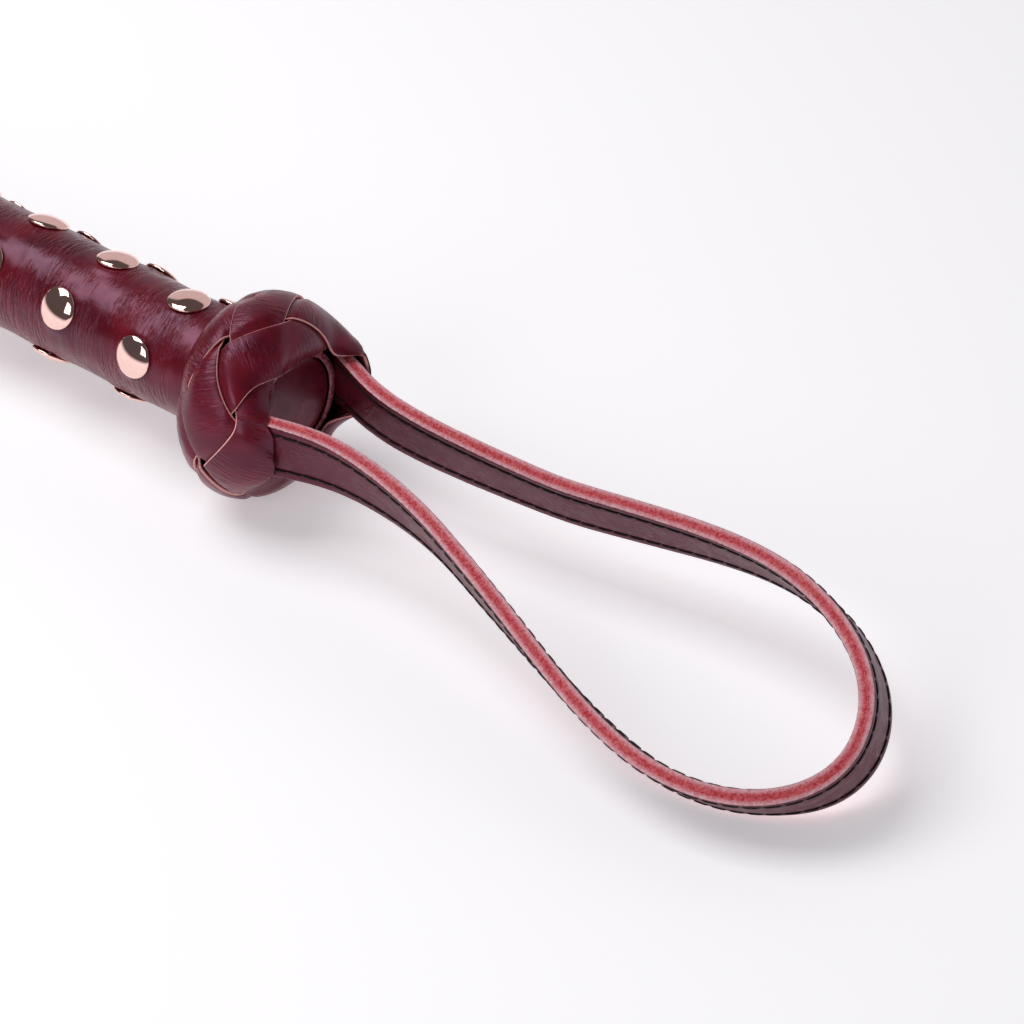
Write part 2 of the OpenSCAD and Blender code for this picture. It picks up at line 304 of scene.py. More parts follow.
def leather(name, crease, crease_scale, tint=WINE_RED, rough=(0.3, 0.44), source="rest"):
    """Glossy pull-up leather. crease is the depth of its fine creases in mm, and crease_scale how
    many there are to a millimetre along each axis. They show only where the leather is worn."""
    s = Shader(name, Coat_Weight=0.05, Coat_Roughness=0.16, Specular_IOR_Level=0.55,
               Specular_Tint=(0.88, 0.5, 0.78, 1))
    if source == "object":
        at = s.object_mm()
        stretched = s.object_mm(crease_scale)
    else:
        at = s.attribute(source)
        stretched = s.attribute(source, crease_scale, (0.1, 0.25, 0.15))
    clouds = s.noise(at, 0.09, 4, 0.6, 0.4)
    patches = s.noise(at, 0.35, 3, 0.55)
    worn = s.ramp(s.noise(at, 0.13, 2, 0.5), 0.45, 0.58, 0.04, 1)
    waves = s.math("SUBTRACT", s.noise(stretched, 1.0, 2, 0.5, 0.35), 0.5)
    creases = s.math("MULTIPLY", waves, worn)
    pores = s.cells(at, 2.6)
    colour = s.mix(s.ramp(clouds, 0.35, 0.68), WINE_DARK, tint)
    colour = s.mix(s.ramp(patches, 0.5, 0.75, 0, 0.4), colour, WINE_PURPLE)
    colour = s.mix(s.ramp(creases, 0.02, 0.15, 0, 0.25), colour, rgb(126, 30, 44))
    s.drive("Base Color", colour)
    s.drive("Roughness", s.ramp(s.math("ADD", patches, creases), 0.35, 0.75, rough[0], rough[1]))
    fine = s.bump(pores, 0.35, 0.00003)
    s.drive("Normal", s.bump(creases, 1.0, crease * MM, fine))
    return s


def raw_edge_over(s, mask, source="lay"):
    """Turns a leather material into raw pink cut leather where mask is 1. Returns its fibres."""
    at = s.attribute(source)
    fibres = s.noise(at, 2.2, 5, 0.7)
    spots = s.noise(at, 0.9, 3, 0.6)
    raw = s.mix(s.ramp(fibres, 0.36, 0.62), RAW_RED, RAW_PALE)
    raw = s.mix(s.ramp(spots, 0.45, 0.7, 0, 0.4), raw, rgb(226, 120, 134))
    colour = s.surface.inputs["Base Color"].links[0].from_socket
    s.drive("Base Color", s.mix(mask, colour, raw))
    shine = s.surface.inputs["Roughness"].links[0].from_socket
    s.drive("Roughness", s.math("MAXIMUM", shine, s.math("MULTIPLY", mask, 0.85)))
    return fibres


def make_rim_leather():
    """Cut edge of the grip's leather: dyed red, with the raw colour showing through."""
    s = leather("rim_leather", 0.1, (1, 1, 1), tint=rgb(140, 24, 56))
    spots = s.noise(s.attribute("rest"), 1.2, 3, 0.6)
    raw_edge_over(s, s.ramp(spots, 0.4, 0.75, 0.02, 0.4), "rest")
    return s.material


def make_lace_leather():
    """lay is the distance along the lace, across it, and 1 on the raw cut edge. Towards the bottom
    of the cut edge the raw colour fades, and the dark leather colour left there is painted shade.
    """
    s = leather("lace_leather", 0.3, (1.9, 0.3, 1.0), tint=rgb(118, 24, 38), rough=(0.28, 0.4),
                source="lay")
    read = s.node("Attribute", attribute_name="edge")
    # The edge attribute is low at the bottom of the cut edges, so the dark leather colour there is
    # painted shade
    mask = s.ramp(read.outputs["Fac"], 0.35, 0.75)
    raw_edge_over(s, mask)
    colour = s.surface.inputs["Base Color"].links[0].from_socket
    s.drive("Base Color", s.mix(s.math("MULTIPLY", mask, 0.75), colour, rgb(255, 188, 180)))
    return s.material


def make_strap_leather():
    """lay is the distance along the strap, across it, and out of its middle face."""
    s = leather("strap_leather", 0.3, (0.8, 1.1, 1.0), tint=rgb(92, 18, 34),
                rough=(0.4, 0.56), source="lay")
    parts = s.node("SeparateXYZ", {"Vector": s.attribute("lay")})
    across = s.math("ABSOLUTE", parts.outputs["Y"])
    ragged = s.noise(s.attribute("lay"), 1.4, 3, 0.6)
    limit = s.ramp(ragged, 0.3, 0.7, STRAP_HALF - 0.22, STRAP_HALF - 0.1)
    mask = s.ramp(s.math("SUBTRACT", across, limit), 0, 0.06)
    fibres = raw_edge_over(s, mask)
    out = s.math("ABSOLUTE", parts.outputs["Z"])
    base = s.surface.inputs["Base Color"].links[0].from_socket
    middle = s.math("MULTIPLY", s.ramp(out, 1.2, 0.45, 0, 1), mask)
    deep = s.mix(s.ramp(fibres, 0.38, 0.64), rgb(206, 48, 58), rgb(250, 130, 134))
    s.drive("Base Color", s.mix(middle, base, deep))
    bump = s.surface.inputs["Normal"].links[0].from_socket
    s.drive("Normal", s.bump(s.math("MULTIPLY", fibres, mask), 1.0, 0.0005, bump))
    return s.material


def make_rose_gold():
    s = Shader("rose_gold", Metallic=1.0, Specular_IOR_Level=0.5)
    at = s.object_mm()
    smudge = s.noise(at, 0.8, 3, 0.6)
    s.drive("Base Color", s.mix(s.ramp(smudge, 0.3, 0.8),
                                (0.94, 0.61, 0.54, 1), (0.97, 0.68, 0.6, 1)))
    s.drive("Roughness", s.ramp(smudge, 0.3, 0.8, 0.03, 0.09))
    return s.material


def make_thread():
    s = Shader("black_thread", Sheen_Weight=0.05, Specular_IOR_Level=0.25)
    at = s.attribute("rest", (1, 1, 1), (0.5, 0.4, 0.7))
    twist = s.node("TexWave", {"Vector": at, "Scale": 1.6, "Distortion": 1.5, "Detail": 2.0,
                               "Detail Scale": 3.0}).outputs["Fac"]
    s.drive("Base Color", s.mix(twist, rgb(8, 5, 7), rgb(24, 16, 20)))
    s.drive("Roughness", s.ramp(twist, 0, 1, 0.75, 0.5))
    s.drive("Normal", s.bump(twist, 0.8, 0.0001))
    return s.material


def make_wood(name, dark, light):
    s = Shader(name, Specular_IOR_Level=0.4)
    at = s.object_mm((0.1, 1.2, 1.2))
    grain = s.noise(at, 1.0, 6, 0.65, 0.8)
    s.drive("Base Color", s.mix(s.ramp(grain, 0.3, 0.7), dark, light))
    s.drive("Roughness", s.ramp(grain, 0.3, 0.7, 0.7, 0.5))
    s.drive("Normal", s.bump(grain, 0.4, 0.0002))
    return s.material


def make_rod():
    s = Shader("glass_fibre", Specular_IOR_Level=0.5)
    fibre = s.noise(s.object_mm((0.05, 3, 3)), 1.0, 4, 0.7)
    s.drive("Base Color", s.mix(fibre, rgb(196, 188, 150), rgb(228, 222, 196)))
    s.drive("Roughness", s.ramp(fibre, 0.2, 0.8, 0.35, 0.55))
    return s.material


def make_steel():
    s = Shader("tack_steel", Metallic=1.0)
    mottle = s.noise(s.object_mm(), 1.5, 3, 0.6)
    s.drive("Base Color", s.mix(mottle, (0.42, 0.42, 0.43, 1), (0.6, 0.6, 0.61, 1)))
    s.drive("Roughness", s.ramp(mottle, 0.2, 0.8, 0.28, 0.45))
    return s.material


def make_rubber():
    s = Shader("tip_rubber", Specular_IOR_Level=0.3)
    speck = s.noise(s.object_mm(), 3.0, 4, 0.7)
    s.drive("Base Color", s.mix(speck, rgb(16, 14, 15), rgb(34, 30, 32)))
    s.drive("Roughness", s.ramp(speck, 0.2, 0.8, 0.75, 0.6))
    s.drive("Normal", s.bump(speck, 0.3, 0.0001))
    return s.material


GRIP_SKIN = leather("grip_leather", 0.55, (1.7, 0.24, 0.24), rough=(0.24, 0.36)).material
PLUG_LEATHER = leather("plug_leather", 0.08, (0.4, 0.5, 0.5), tint=rgb(112, 14, 34),
                       rough=(0.34, 0.46)).material
PLAIN_LEATHER = leather("plain_leather", 0.2, (0.5, 0.9, 0.9)).material
KEEPER_LEATHER = leather("keeper_leather", 0.2, (0.7, 0.9, 1.0)).material
CAD_LEATHER = leather("cad_leather", 0.2, (0.5, 0.9, 0.9), source="object").material
RIM_LEATHER = make_rim_leather()
LACE_LEATHER = make_lace_leather()
STRAP_LEATHER = make_strap_leather()
ROSE_GOLD = make_rose_gold()
THREAD = make_thread()
WOOD = make_wood("turned_wood", rgb(150, 104, 62), rgb(205, 164, 112))
STAINED_WOOD = make_wood("stained_wood", rgb(44, 8, 15), rgb(78, 16, 26))
ROD = make_rod()
STEEL = make_steel()
RUBBER = make_rubber()

CAD_LOOKS = {
    "core_rod": ROD, "handle_core": WOOD, "rivet_posts": ROSE_GOLD,
    "butt_knot_ring": STAINED_WOOD, "front_washer": CAD_LEATHER,
    "front_knot_ring": STAINED_WOOD, "tip_plug": RUBBER, "strap_tacks": STEEL,
}
for node_name, look in CAD_LOOKS.items():
    cad_mesh = frame["nodes"][node_name].data
    cad_mesh.materials.clear()
    cad_mesh.materials.append(look)


def place(obj, body, slot, *nodes):
    """Fixes a piece to one body, in the place of those CAD nodes."""
    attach(obj, body)
    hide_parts(*nodes)


def bend(obj, bodies, start, end, slot, *nodes):
    """Bakes a piece's transform into its mesh, in the place of those CAD nodes. start and end are
    not used.
    """
    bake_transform(obj)
    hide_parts(*nodes)


LOOP_BODIES = ("crop", "wrist_loop")
LOOP_BEND = (LOOP_PIVOT + [4, 0, 0], LOOP_PIVOT - [18, 0, 0])
KEEPER_BODIES = ("crop", "keeper")
KEEPER_BEND = (KEEPER_PIVOT - [5, 0, 0], KEEPER_PIVOT + [9, 0, 0])


# ---------------------------------------------------------------- grip
def rivet_places():
    """(x, angle) of each rivet's centre."""
    return [(x + RIVET_STEP * k, angle + RIVET_TURN * k)
            for x, angle in RIVET_ROWS for k in range(RIVETS_IN_ROW)]


def grip_radius(x, angle):
    """Radius of the leather's outside: it lies flat under each rivet cap and sags between them."""
    radius = np.full(x.shape, GRIP_R)
    for rivet_x, rivet_angle in rivet_places():
        turn = (angle - rivet_angle + 180) % 360 - 180
        near = (np.abs(turn) < 60) & (np.abs(x - rivet_x) < 16)
        t = np.radians(turn[near])
        away = np.hypot(x[near] - rivet_x, GRIP_R * t)
        flat = GRIP_R / np.cos(np.clip(t, -0.42, 0.42)) - GRIP_R
        share = 0.55 * (1 - smooth((away - 3.2) / 3.4))
        puff = 0.09 * np.exp(-((away - 5.6) / 1.5) ** 2)
        radius[near] = np.maximum(radius[near], GRIP_R + flat * share + puff)
    return radius


def make_grip():
    xs = np.arange(0.3, GRIP_LENGTH - 0.2, 0.62)
    angles = np.linspace(0, 360, 150, endpoint=False)
    x, a = np.meshgrid(xs, angles, indexing="ij")
    r = grip_radius(x, a)
    for i in range(r.shape[0]):
        for k in range(r.shape[1]):
            t = math.radians(a[i, k])
            c, s = math.cos(t) * GRIP_R, math.sin(t) * GRIP_R
            slow = noise.noise(Vector((x[i, k] * 0.11, c * 0.09, s * 0.09)))
            crease = noise.noise(Vector((x[i, k] * 0.62 + c * 0.12, c * 0.16, s * 0.16)))
            r[i, k] += 0.12 * slow + 0.09 * crease
    # Plain under the two knots
    under_knot = GRIP_R - 0.05
    fade = smooth((x - 18) / 7) * smooth((GRIP_LENGTH - 8 - x) / 6)
    r = under_knot + (r - under_knot) * fade
    rings = [np.stack([x[i], r[i] * np.cos(np.radians(a[i])), r[i] * np.sin(np.radians(a[i]))], 1)
             for i in range(len(xs))]
    rim = []
    inner = GRIP_R - GRIP_LEATHER
    t = np.radians(angles)
    for rx, rr in ((0.35, inner), (0.05, inner + 0.15), (0.0, inner + 0.8), (0.02, GRIP_R - 0.3),
                   (0.12, GRIP_R - 0.12)):
        rim.append(np.stack([np.full(t.shape, rx), rr * np.cos(t), rr * np.sin(t)], 1))
    tail = [np.stack([np.full(t.shape, GRIP_LENGTH), inner * np.cos(t), inner * np.sin(t)], 1)]
    rows = rim + rings + tail
    points = np.concatenate(rows)
    faces = skin_faces(len(rows), len(angles), caps=False)
    obj = mesh_object("grip_leather_sleeve", points, faces, GRIP_SKIN, sharp=60)
    obj.data.materials.append(RIM_LEATHER)
    index = np.zeros(len(obj.data.polygons), np.int32)
    index[:(len(rim) - 1) * len(angles)] = 1
    obj.data.polygons.foreach_set("material_index", index)
    place(obj, "crop", "wine_leather", "grip_sleeve")


def rivet_dome(centre, out):
    """Points and faces of one polished cap: a shallow dome with a rolled rim."""
    sides = 40
    ahead = np.array([1.0, 0, 0])
    profile = [(CAP_R - 0.12, 0.0), (CAP_R, 0.16), (CAP_R, 0.34), (CAP_R - 0.09, 0.5)]
    dome_r = CAP_R - 0.26
    rim_height = 0.62
    for i in range(1, 9):
        rho = dome_r * (1 - i / 8)
        profile.append((rho, rim_height + CAP_RISE * (1 - (rho / dome_r) ** 2)))
    side = np.cross(out, ahead)
    points = []
    for rho, h in profile[:-1]:
        for k in range(sides):
            a = 2 * math.pi * k / sides
            points.append(centre + out * h + rho * (math.cos(a) * ahead + math.sin(a) * side))
    points.append(centre + out * (rim_height + CAP_RISE))
    rings = len(profile) - 1
    faces = skin_faces(rings, sides, caps=False)
    top = len(points) - 1
    last = (rings - 1) * sides
    faces += [(last + k, last + (k + 1) % sides, top) for k in range(sides)]
    faces.append(tuple(range(sides - 1, -1, -1)))
    return points, faces


def joined(parts):
    """Points and faces of several parts as one mesh."""
    points, faces = [], []
    for part_points, part_faces in parts:
        start = len(points)
        points += [np.asarray(p) for p in part_points]
        faces += [tuple(start + i for i in f) for f in part_faces]
    return np.array(points), faces


def make_rivets():
    caps = []
    for x, angle in rivet_places():
        out = around(angle)
        caps.append(rivet_dome(np.array([x, 0, 0]) + out * (GRIP_R + 0.05), out))
    points, faces = joined(caps)
    obj = mesh_object("rivet_domes", points, faces, ROSE_GOLD, sharp=50)
    place(obj, "crop", "rose_gold", "rivet_caps")


def make_butt_plug():
    edge = GRIP_R - GRIP_LEATHER - 0.05
    profile = [(3.9, 0.01), (3.9, edge), (1.3, edge)]
    for i in range(1, 25):
        rho = edge * (1 - i / 24) + 0.01
        roll = 0.5 * (rho / edge) ** 10 + 0.15 * (rho / edge) ** 2
        profile.append((0.05 + roll, rho))
    points, faces = lathe(profile)
    obj = mesh_object("butt_plug_leather", points, faces, PLUG_LEATHER, sharp=50)
    place(obj, "crop", "wine_leather", "butt_plug")


# ---------------------------------------------------------------- knots
class Weave:
    """A Turk's head of four leads and five bights, woven from one flat lace over a round core.
    u is the distance along the knot's outline from its top, towards the butt."""

    leads = 4
    bights = 5
    stack = 0.45
    # Extra swing of the bights on the butt side, which curl in over the knot's mouth
    reach = 3.6

    def __init__(self, outline, half, middle, swing, first_bight, mouth=None):
        self.half = half
        self.middle = middle
        self.swing = swing
        self.first = math.radians(first_bight)
        self.mouth = mouth
        self.outline = outline
        steps = np.linalg.norm(np.diff(outline, axis=0), axis=1)
        along = np.concatenate([[0], np.cumsum(steps)])
        top = outline[:, 1].argmax()
        self.u = along - along[top]
        slope = np.gradient(outline, self.u, axis=0)
        self.normal = np.stack([-slope[:, 1], slope[:, 0]], 1)
        self.normal *= np.sign(self.normal[top, 1])
        self.normal /= np.linalg.norm(self.normal, axis=1)[:, None]

    def at(self, u):
        """(x, r) of the outline, and its outward normal in that plane."""
        point = np.array([np.interp(u, self.u, self.outline[:, i]) for i in (0, 1)]).T
        normal = np.array([np.interp(u, self.u, self.normal[:, i]) for i in (0, 1)]).T
        return point, normal / np.linalg.norm(normal, axis=-1, keepdims=True)

    def phase(self, angle):
        return self.bights / self.leads * (angle - self.first)

    def centre(self, phase):
        c = np.cos(phase)
        return self.middle + self.swing * c + self.reach * np.maximum(c, 0) ** 2

    def lean(self, phase, r):
        """Angle of the lace away from the ring direction."""
        swing = self.swing + 2 * self.reach * np.maximum(np.cos(phase), 0)
        return np.arctan2(-swing * np.sin(phase) * self.bights / self.leads, r)

    def level(self, u, own, r):
        """How high the lace lies, from -1 under the other pass to 1 over it. The crossings lie
        in three rows, and the lace goes over, under and over as it rises through them."""
        height = np.zeros(u.shape)
        mine = self.centre(own)
        side = np.tanh(5 * np.sin(own))
        for k in range(1, self.leads):
            other = own + 2 * np.pi / self.leads * k
            theirs = self.centre(other)
            away = np.abs(u - theirs) * np.cos(self.lean(other, r))
            row = np.tanh(np.abs(mine + theirs - 2 * self.middle) / 1.6 - 4)
            height -= side * row * (1 - smooth((away - self.half + 0.1) / 1.9))
        return np.clip(height, -1, 1)

    def mesh(self, name, material):
        rings = 960
        # Across the lace: share of its half width, height above its middle, and rawness. The
        # rawness is low at the bottom of the cut edges, which leaves the dark leather colour there
        # as painted shade
        section = [(-0.99, -0.4, 0.2), (-1.0, -0.1, 0.5), (-1.0, 0.12, 1), (-0.985, 0.26, 1),
                   (-0.965, 0.31, 0), (-0.88, 0.4, 0), (-0.6, 0.5, 0), (-0.3, 0.54, 0),
                   (0, 0.55, 0), (0.3, 0.54, 0), (0.6, 0.5, 0), (0.88, 0.4, 0),
                   (0.965, 0.31, 0), (0.985, 0.26, 1), (1.0, 0.12, 1), (1.0, -0.1, 0.5),
                   (0.99, -0.4, 0.2), (0.6, -0.5, 0), (0, -0.55, 0), (-0.6, -0.5, 0)]
        crest = 8
        shares = np.array([w for w, _, _ in section])
        lift = np.array([h for _, h, _ in section])
        raw_share_and_painted_shade = [e for _, _, e in section]
        total = 2 * np.pi * self.leads
        points, lay, edge = [], [], []
        travelled = 0
        before = None
        for i in range(rings):
            angle = self.first + total * i / rings
            own = self.phase(angle)
            across = [self.walk(angle, self.centre(own), own, share * self.half)
                      for share in shares]
            angles = np.array([a for a, _ in across])
            us = np.array([u for _, u in across])
            xr, normal = self.at(us)
            level = self.level(us, self.phase(angles), xr[:, 1])
            height = self.stack * level + lift - self.stack - 0.6
            place_xr = xr + normal * height[:, None]
            if self.mouth is not None:
                place_xr = self.mouth(place_xr, angles, height)
            ring = np.stack([place_xr[:, 0], place_xr[:, 1] * np.cos(angles),
                             place_xr[:, 1] * np.sin(angles)], 1)
            if before is not None:
                travelled += np.linalg.norm(ring[crest] - before)
            before = ring[crest]
            points.append(ring)
            lay.append(np.stack([np.full(len(section), travelled), shares * self.half, lift], 1))
            edge.append(raw_share_and_painted_shade)
        faces = skin_faces(rings, len(section), looped=True)
        obj = mesh_object(name, np.concatenate(points), faces, material, sharp=48,
                          lay=np.concatenate(lay))
        raw = obj.data.attributes.new("edge", "FLOAT", "POINT")
        raw.data.foreach_set("value", np.array(edge, np.float32).ravel())
        return obj

    def walk(self, angle, u, own, distance):
        """The place reached by going that distance across the lace from its centre line."""
        steps = 6
        step = distance / steps
        for _ in range(steps):
            r = max(self.at(np.array([u]))[0][0, 1], 5.0)
            lean = float(self.lean(own, r))
            u += step * math.cos(lean)
            angle -= step * math.sin(lean) / r
        return angle, u


def arch(x, base, a, b, start, end, steps=60):
    """Points (x, r) on an ellipse over base, with half lengths a and b, from one angle off its
    top to another, where 90 is its end towards the butt."""
    t = np.radians(np.linspace(start, end, steps))
    return np.stack([x - a * np.sin(t), base + b * np.cos(t)], 1)


def strap_outside(x):
    """Distance from the XZ plane of the strap's outer face where the arms pass x."""
    middle = route(np.linspace(0, 3, 90))[0]
    return np.interp(x, middle[::-1, 0], middle[::-1, 1]) + STRAP_PLY


def hug_strap(xr, angles, height):
    """Shapes the butt knot: it is fuller on its +Y side, a little below the middle, and its mouth
    runs out along both arms of the strap and stands clear of them."""
    # The mouth's run along the arms, and the full side's shift along the axis and away from it
    run, shift, swell = 5.8, 2.2, 1.7
    off = np.degrees(np.abs((angles + np.pi / 2) % np.pi - np.pi / 2))
    full = ((1 + np.cos(angles + 0.6)) / 2) ** 2
    moved = xr.copy()
    mouth = smooth((KNOT_X + 2 - xr[:, 0]) / 13)
    moved[:, 0] -= mouth * (0.4 + run * (1 - smooth((off - 14) / 34))) + shift * full * (1 - mouth)
    moved[:, 1] += swell * full * (xr[:, 1] - GRIP_R) / (KNOT_R - GRIP_R)
    flat = strap_outside(moved[:, 0]) + 0.1
    edge = np.arctan2(STRAP_HALF + 0.2, flat)
    corner = np.hypot(STRAP_HALF + 0.2, flat)
    core = np.where(moved[:, 0] > -0.5, GRIP_R, 9.0)
    slope = np.arccos(core / corner)
    turn = np.radians(off)
    over = flat / np.cos(np.minimum(turn, edge))
    slack = core / np.cos(np.clip(edge + slope - turn, 0, 1.2))
    least = np.where(turn < edge, over, np.maximum(slack, core)) + height + 1.5
    push = np.log1p(np.exp((least - moved[:, 1]) * 1.6)) / 1.6
    moved[:, 1] += np.where(xr[:, 0] < KNOT_X, push, 0) * smooth((KNOT_X - xr[:, 0]) / 5)
    return moved


def make_knots():
    base = GRIP_R + 0.05
    rise = KNOT_R - base
    inner_side = arch(KNOT_X, base, KNOT_HALF, rise, -90, 0)
    mouth_side = arch(KNOT_X, base, KNOT_HALF + 1.3, rise, 0, 90)
    curl = mouth_side[-1] - [[0, 0.7], [-0.1, 1.4]]
    butt = np.concatenate([inner_side, mouth_side[1:], curl])
    weave = Weave(butt, half=5.5, middle=-0.4, swing=9.0, first_bight=25, mouth=hug_strap)
    obj = weave.mesh("butt_knot_weave", LACE_LEATHER)
    place(obj, "crop", "wine_leather", "butt_knot_lace")
    nose = FRONT_HI[0] - FRONT_X
    shaft_side = arch(FRONT_X, SHAFT_R + 0.05, nose, KNOT_R - SHAFT_R - 0.05, -90, 0)
    grip_side = arch(FRONT_X, base, KNOT_HALF, rise, 0, 90)
    front = np.concatenate([shaft_side, grip_side[1:]])
    weave = Weave(front, half=6.6, middle=-3.6, swing=11.2, first_bight=10)
    obj = weave.mesh("front_knot_weave", LACE_LEATHER)
    place(obj, "crop", "wine_leather", "front_knot_lace")


# ---------------------------------------------------------------- wrist strap
def route(g):
    """Middle, heading, across and outward vectors of the strap at each route place g."""
    g = np.asarray(g, float)
    i = np.minimum(g.astype(int), len(ROUTE) - 4)
    u = (g - i)[:, None]
    a, b, c, d = (ROUTE[i + k] for k in range(4))
    spot = (a * (1 - u) ** 3 + b * (3 * u ** 3 - 6 * u * u + 4)
            + c * (1 + 3 * u + 3 * u * u - 3 * u ** 3) + d * u ** 3) / 6
    slope = (-a * (1 - u) ** 2 + b * (3 * u * u - 4 * u) + c * (1 + 2 * u - 3 * u * u)
             + d * u * u) / 2
    t = slope[:, :3] / np.linalg.norm(slope[:, :3], axis=1)[:, None]
    down = np.array([0, 0, -1.0]) + t[:, 2:] * t
    down /= np.linalg.norm(down, axis=1)[:, None]
    roll = np.radians(spot[:, 3])[:, None]
    across = down * np.cos(roll) + np.cross(t, down) * np.sin(roll)
    return spot[:, :3], t, across, np.cross(across, t)


def route_by_length():
    g = np.linspace(ROUTE_START, ROUTE_END, 4000)
    middle = route(g)[0]
    along = np.concatenate([[0], np.cumsum(np.linalg.norm(np.diff(middle, axis=0), axis=1))])
    return g, along


ROUTE_G, ROUTE_LENGTH = route_by_length()


def strap_at(lengths):
    return route(np.interp(lengths, ROUTE_LENGTH, ROUTE_G))


def stitch_starts():
    first = 9.0
    count = int((ROUTE_LENGTH[-1] - 2 * first) / STITCH_PITCH)
    return [first + STITCH_PITCH * k for k in range(count)]


def make_ply(name, side, *nodes):
    """One leather ply, on the outward side (1) or the inward side (-1) of the middle face."""
    w = STRAP_HALF
    row = w - STITCH_INSET
    # Across the ply: place across, distance out of the middle face, share of the stitch dimple
    face = [(-w + 0.28, STRAP_PLY, 0), (-row - 0.8, STRAP_PLY, 0), (-row - 0.4, STRAP_PLY, 0.5),
            (-row, STRAP_PLY, 1), (-row + 0.4, STRAP_PLY, 0.5), (-row + 0.9, STRAP_PLY, 0),
            (-2, STRAP_PLY, 0), (0, STRAP_PLY, 0), (2, STRAP_PLY, 0),
            (row - 0.9, STRAP_PLY, 0), (row - 0.4, STRAP_PLY, 0.5), (row, STRAP_PLY, 1),
            (row + 0.4, STRAP_PLY, 0.5), (row + 0.8, STRAP_PLY, 0), (w - 0.28, STRAP_PLY, 0)]
    right = [(w - 0.07, STRAP_PLY - 0.12, 0), (w, STRAP_PLY - 0.35, 0), (w + 0.03, 0.9, 0),
             (w, 0.4, 0), (w, 0.1, 0), (w - 0.05, 0.01, 0)]
    left = [(-a, o, d) for a, o, d in reversed(right)]
    section = face + right + left
    lengths = np.arange(0, ROUTE_LENGTH[-1], 0.5)
    middle, _, across, outward = strap_at(lengths)
    starts = np.array(stitch_starts())
    points, lay = [], []
    for i, s in enumerate(lengths):
        gap = np.abs(starts - s).min()
        dimple = 0.16 + 0.2 * math.exp(-(gap / 0.5) ** 2)
        for a, o, d in section:
            wobble = 0.0
            if abs(a) > w - 0.3:
                wobble = 0.07 * noise.noise(Vector((s * 0.9, a, o * 1.5 * side)))
                wobble += 0.1 * noise.noise(Vector((s * 0.07, a, 3.0)))
            out = side * (o - dimple * d)
            reach = a + math.copysign(wobble, a)
            points.append(middle[i] + across[i] * reach + outward[i] * out)
            lay.append((s, a, side * o))
    faces = skin_faces(len(lengths), len(section))
    if side > 0:
        faces = [tuple(reversed(f)) for f in faces]
    obj = mesh_object(name, points, faces, STRAP_LEATHER, sharp=50, lay=lay)
    bend(obj, LOOP_BODIES, *LOOP_BEND, "strap_leather", *nodes)


def make_strap_stitches(name, side, node):
    """Two rows of stitches, each a short thread that dives into the leather at both ends."""
    paths, ups = [], []
    steps = 8
    for row in (-1, 1):
        for start in stitch_starts():
            lengths = start + 0.05 + (STITCH_PITCH - 0.1) * np.linspace(0, 1, steps)
            middle, _, across, outward = strap_at(lengths)
            bow = 1 - np.abs(np.linspace(-1, 1, steps)) ** 6
            out = side * (STRAP_PLY - 0.2 + 0.18 * bow)
            slant = 0.1 * np.linspace(-1, 1, steps) * row
            across_at = row * (STRAP_HALF - STITCH_INSET) + slant
            paths.append(middle + across * across_at[:, None] + outward * out[:, None])
            ups.append(outward[steps // 2] * side)
    points, faces = thread_run(paths, ups, STRAP_THREAD_R)
    obj = mesh_object(name, points, faces, THREAD, sharp=70)
    bend(obj, LOOP_BODIES, *LOOP_BEND, "black_thread", node)


# ---------------------------------------------------------------- shaft
def shaft_radius(x):
    share = np.clip((x - TAPER_START) / (SHAFT_HI[0] - TAPER_START), 0, 1)
    return SHAFT_R + (SHAFT_TIP_R - SHAFT_R) * share


def make_shaft():
    """The sleeve's leather is wrapped round the rod, and one edge laps over the other beneath."""
    xs = np.concatenate([np.arange(SHAFT_LO[0], SHAFT_HI[0], 1.4), [SHAFT_HI[0]]])
    angles = np.linspace(-90, 270, 72, endpoint=False)
    lap_height, lap_width = 0.28, 1.4
    rows = []
    for x in xs:
        r = shaft_radius(x)
        ring = []
        for a in angles:
            off = math.radians(a + 90) * r
            step = lap_height * (1 - smooth((off - lap_width) / 0.35))
            t = math.radians(a)
            c, s = math.cos(t) * r, math.sin(t) * r
            wobble = 0.06 * noise.noise(Vector((x * 0.16, c * 0.2, s * 0.2)))
            radius = r - 0.05 + step + wobble
            ring.append([x, radius * math.cos(t), radius * math.sin(t)])
        rows.append(ring)
    points = np.concatenate(rows)
    faces = skin_faces(len(xs), len(angles))
    obj = mesh_object("shaft_leather", points, faces, PLAIN_LEATHER, sharp=60)
    place(obj, "crop", "wine_leather", "shaft_sleeve")


def make_shaft_stitches():
    paths, ups = [], []
    lo, hi = box_mm("shaft_seam_thread")
    count = int((hi[0] - lo[0]) / STITCH_PITCH)
    for k in range(count):
        start = lo[0] + STITCH_PITCH * k
        path = []
        for j in range(8):
            s = j / 7
            x = start + 0.25 + s * (STITCH_PITCH - 0.5)
            r = shaft_radius(x) + 0.12 + 0.2 * (1 - abs(2 * s - 1) ** 4)
            path.append(np.array([x, 0, 0]) + around(-90 + math.degrees(0.9 / r)) * r)
        paths.append(np.array(path))
        ups.append(around(-90))
    points, faces = thread_run(paths, ups, SEAM_THREAD_R)
    obj = mesh_object("shaft_seam_stitches", points, faces, THREAD, sharp=70)
    place(obj, "crop", "black_thread", "shaft_seam_thread")


# ---------------------------------------------------------------- keeper
def keeper_half_width(x):
    """Half width of the keeper at x: a neck, a flare and two round corners."""
    flare_start = KEEPER_PIVOT[0] + 8
    flare_length = 22
    half = KEEPER_NECK + (KEEPER_HALF - KEEPER_NECK) * smooth((x - flare_start) / flare_length)
    into = np.clip((x - KEEPER_HI[0] + KEEPER_CORNER) / KEEPER_CORNER, 0, 1)
    return half - KEEPER_CORNER * (1 - np.sqrt(1 - into ** 2))


